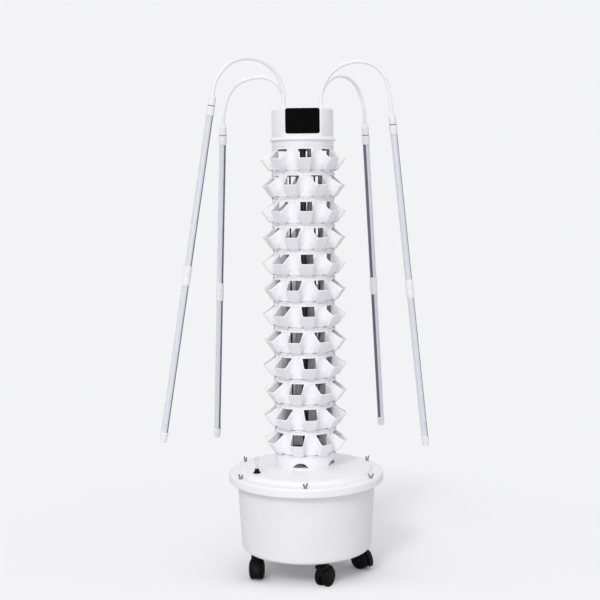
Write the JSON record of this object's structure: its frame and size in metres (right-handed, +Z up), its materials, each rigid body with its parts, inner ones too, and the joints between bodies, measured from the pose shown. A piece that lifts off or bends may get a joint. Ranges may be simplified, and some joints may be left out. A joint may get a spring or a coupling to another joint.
{
  "type": "vertical planter tower",
  "caption": "Tall white planting column of stacked scoop-pocket rings on a round wheeled water tank, with a screen controller and hanging tube lamps on curved arms.",
  "frame": {"origin": "on the floor, on the axis of the planting column", "axes": "+Z up along the column's axis; the controller's screen faces -Y; +X to the viewer's right"},
  "size_m": [1.024, 0.779, 1.9788],
  "materials": {
    "white_plastic": "satin",
    "arm_white": "satin",
    "lamp_fitting": "satin",
    "light_tube": "gloss",
    "black_rubber": "matte",
    "black_plastic": "satin",
    "caster_tyre": "satin",
    "steel": "satin",
    "clear_plastic": "gloss",
    "screen": "gloss",
    "circuit_board": "satin"
  },
  "bodies": {
    "tower": {"tank_body": "white_plastic", "tank_lid": "white_plastic", "column_foot": "white_plastic", "column_cap": "white_plastic", "controller_base": "white_plastic", "controller_housing": "white_plastic", "arm_sockets": "white_plastic", "ring_01": "white_plastic", "ring_02": "white_plastic", "ring_03": "white_plastic", "ring_04": "white_plastic", "ring_05": "white_plastic", "ring_06": "white_plastic", "ring_07": "white_plastic", "ring_08": "white_plastic", "ring_09": "white_plastic", "ring_10": "white_plastic", "ring_11": "white_plastic", "ring_12": "white_plastic", "lid_seal": "black_rubber", "gauge_grommet": "black_rubber", "wing_bolts": "steel", "pump_strainer": "black_plastic", "pump_body": "black_plastic", "riser_pipe": "black_plastic", "pump_lead": "black_plastic", "sensor_lead": "black_plastic", "lead_clips": "black_plastic", "power_inlet": "black_plastic", "caster_plates": "black_plastic", "spray_disc": "white_plastic", "display_panel": "screen", "controller_board": "circuit_board"},
    "float_gauge": {"gauge_rod": "clear_plastic", "gauge_float": "clear_plastic"},
    "impeller": {"pump_impeller": "black_plastic"},
    "caster_1": {"caster_hood_1": "black_plastic"},
    "wheels_1": {"caster_wheels_1": "caster_tyre"},
    "pedal_1": {"caster_pedal_1": "black_plastic"},
    "caster_2": {"caster_hood_2": "black_plastic"},
    "wheels_2": {"caster_wheels_2": "caster_tyre"},
    "pedal_2": {"caster_pedal_2": "black_plastic"},
    "caster_3": {"caster_hood_3": "black_plastic"},
    "wheels_3": {"caster_wheels_3": "caster_tyre"},
    "pedal_3": {"caster_pedal_3": "black_plastic"},
    "caster_4": {"caster_hood_4": "black_plastic"},
    "wheels_4": {"caster_wheels_4": "caster_tyre"},
    "pedal_4": {"caster_pedal_4": "black_plastic"},
    "arm_1": {"light_arm_1": "arm_white"},
    "lamp_1": {"lamp_fittings_1": "lamp_fitting", "lamp_tubes_1": "light_tube"},
    "arm_2": {"light_arm_2": "arm_white"},
    "lamp_2": {"lamp_fittings_2": "lamp_fitting", "lamp_tubes_2": "light_tube"},
    "arm_3": {"light_arm_3": "arm_white"},
    "lamp_3": {"lamp_fittings_3": "lamp_fitting", "lamp_tubes_3": "light_tube"},
    "arm_4": {"light_arm_4": "arm_white"},
    "lamp_4": {"lamp_fittings_4": "lamp_fitting", "lamp_tubes_4": "light_tube"}
  },
  "joints": [
    {"name": "gauge_rise", "type": "slide", "parent": "tower", "child": "float_gauge", "axis": [0, 0, 1], "range_m": [0, 0.2]},
    {"name": "impeller_spin", "type": "hinge", "parent": "tower", "child": "impeller", "pos_m": [0, 0, 0.15], "axis": [0, 0, 1], "continuous": true},
    {"name": "caster_swivel_1", "type": "hinge", "parent": "tower", "child": "caster_1", "pos_m": [0.05176, -0.19319, 0.09], "axis": [0, 0, 1], "continuous": true},
    {"name": "wheel_spin_1", "type": "hinge", "parent": "caster_1", "child": "wheels_1", "pos_m": [0.06766, -0.16774, 0.0375], "axis": [-0.848, 0.5299, 0], "continuous": true},
    {"name": "pedal_press_1", "type": "hinge", "parent": "caster_1", "child": "pedal_1", "pos_m": [0.08562, -0.13901, 0.06397], "axis": [-0.848, 0.5299, 0], "range_deg": [0, 12]},
    {"name": "caster_swivel_2", "type": "hinge", "parent": "tower", "child": "caster_2", "pos_m": [0.19319, 0.05176, 0.09], "axis": [0, 0, 1], "continuous": true},
    {"name": "wheel_spin_2", "type": "hinge", "parent": "caster_2", "child": "wheels_2", "pos_m": [0.21617, 0.03248, 0.0375], "axis": [0.6428, 0.766, 0], "continuous": true},
    {"name": "pedal_press_2", "type": "hinge", "parent": "caster_2", "child": "pedal_2", "pos_m": [0.24212, 0.0107, 0.06397], "axis": [0.6428, 0.766, 0], "range_deg": [0, 12]},
    {"name": "caster_swivel_3", "type": "hinge", "parent": "tower", "child": "caster_3", "pos_m": [-0.05176, 0.19319, 0.09], "axis": [0, 0, 1], "continuous": true},
    {"name": "wheel_spin_3", "type": "hinge", "parent": "caster_3", "child": "wheels_3", "pos_m": [-0.07995, 0.20345, 0.0375], "axis": [-0.342, -0.9397, 0], "continuous": true},
    {"name": "pedal_press_3", "type": "hinge", "parent": "caster_3", "child": "pedal_3", "pos_m": [-0.1118, 0.21503, 0.06397], "axis": [-0.342, -0.9397, 0], "range_deg": [0, 12]},
    {"name": "caster_swivel_4", "type": "hinge", "parent": "tower", "child": "caster_4", "pos_m": [-0.19319, -0.05176, 0.09], "axis": [0, 0, 1], "continuous": true},
    {"name": "wheel_spin_4", "type": "hinge", "parent": "caster_4", "child": "wheels_4", "pos_m": [-0.19319, -0.08176, 0.0375], "axis": [1, 0, 0], "continuous": true},
    {"name": "pedal_press_4", "type": "hinge", "parent": "caster_4", "child": "pedal_4", "pos_m": [-0.19319, -0.11565, 0.06397], "axis": [1, 0, 0], "range_deg": [0, 12]},
    {"name": "arm_turn_1", "type": "hinge", "parent": "tower", "child": "arm_1", "pos_m": [-0.07, -0.04, 1.8044], "axis": [0, 0, 1], "range_deg": [-15, 15]},
    {"name": "lamp_turn_1", "type": "hinge", "parent": "arm_1", "child": "lamp_1", "pos_m": [-0.331, -0.165, 1.7954], "axis": [0.159, 0.02, 0.9871], "range_deg": [-90, 90]},
    {"name": "arm_turn_2", "type": "hinge", "parent": "tower", "child": "arm_2", "pos_m": [-0.07, 0.04, 1.8044], "axis": [0, 0, 1], "range_deg": [-15, 15]},
    {"name": "lamp_turn_2", "type": "hinge", "parent": "arm_2", "child": "lamp_2", "pos_m": [-0.308, 0.083, 1.7034], "axis": [0.048, -0.173, 0.9838], "range_deg": [-90, 90]},
    {"name": "arm_turn_3", "type": "hinge", "parent": "tower", "child": "arm_3", "pos_m": [0.07, 0.04, 1.8044], "axis": [0, 0, 1], "range_deg": [-15, 15]},
    {"name": "lamp_turn_3", "type": "hinge", "parent": "arm_3", "child": "lamp_3", "pos_m": [0.251, 0.216, 1.7064], "axis": [-0.06, -0.201, 0.9778], "range_deg": [-90, 90]},
    {"name": "arm_turn_4", "type": "hinge", "parent": "tower", "child": "arm_4", "pos_m": [0.07, -0.04, 1.8044], "axis": [0, 0, 1], "range_deg": [-15, 15]},
    {"name": "lamp_turn_4", "type": "hinge", "parent": "arm_4", "child": "lamp_4", "pos_m": [0.338, -0.055, 1.7284], "axis": [-0.106, -0.074, 0.9916], "range_deg": [-90, 90]}
  ]
}
